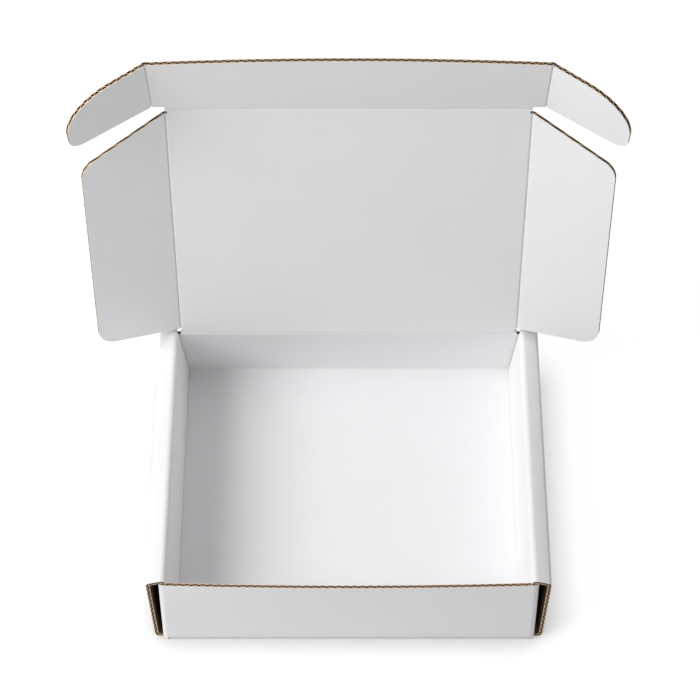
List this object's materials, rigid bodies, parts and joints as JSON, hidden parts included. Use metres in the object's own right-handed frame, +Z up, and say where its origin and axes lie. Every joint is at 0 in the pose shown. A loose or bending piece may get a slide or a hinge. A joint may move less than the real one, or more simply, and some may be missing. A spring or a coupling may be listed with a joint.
{
  "type": "corrugated mailer box",
  "caption": "Open corrugated mailer box with double side walls, a hinged lid with side wings, and a tuck flap with rounded locking ears.",
  "frame": {"origin": "middle of the tray's underside", "axes": "+Z up, +Y from the front panel towards the lid's crease, +X to the right seen from the front"},
  "size_m": [0.4348, 0.2821, 0.4138],
  "materials": {
    "tray_board": "white-faced corrugated board, matt, kraft core at the cut edges",
    "lid_board": "white-faced corrugated board, matt, kraft core at the cut edges",
    "wing_board": "white-faced corrugated board, matt, kraft core at the cut edges",
    "tuck_board": "white-faced corrugated board, matt, kraft core at the cut edges",
    "ear_board": "white-faced corrugated board, matt, kraft core at the cut edges"
  },
  "bodies": {
    "tray": {"tray": "tray_board"},
    "lid": {"lid": "lid_board"},
    "left_wing": {"left_wing": "wing_board"},
    "right_wing": {"right_wing": "wing_board"},
    "tuck_flap": {"tuck_flap": "tuck_board"},
    "left_ear": {"left_ear": "ear_board"},
    "right_ear": {"right_ear": "ear_board"}
  },
  "joints": [
    {"name": "lid_hinge", "type": "hinge", "parent": "tray", "child": "lid", "pos_m": [0, 0.11794, 0.081], "axis": [1, 0, 0], "range_deg": [-44, 40]},
    {"name": "left_wing_fold", "type": "hinge", "parent": "lid", "child": "left_wing", "pos_m": [-0.1448, 0.11794, 0.081], "axis": [0, 0.0872, 0.9962], "range_deg": [-23, 72]},
    {"name": "right_wing_fold", "type": "hinge", "parent": "lid", "child": "right_wing", "pos_m": [0.1448, 0.11794, 0.081], "axis": [0, -0.0872, -0.9962], "range_deg": [-23, 72]},
    {"name": "tuck_fold", "type": "hinge", "parent": "lid", "child": "tuck_flap", "pos_m": [0, 0.14059, 0.33995], "axis": [1, 0, 0], "range_deg": [-22.5, 67.5]},
    {"name": "left_ear_fold", "type": "hinge", "parent": "tuck_flap", "child": "left_ear", "pos_m": [-0.1549, 0.14059, 0.33995], "axis": [0, -0.3007, 0.9537], "range_deg": [-31, 59]},
    {"name": "right_ear_fold", "type": "hinge", "parent": "tuck_flap", "child": "right_ear", "pos_m": [0.1549, 0.14059, 0.33995], "axis": [0, 0.3007, -0.9537], "range_deg": [-31, 59]}
  ]
}
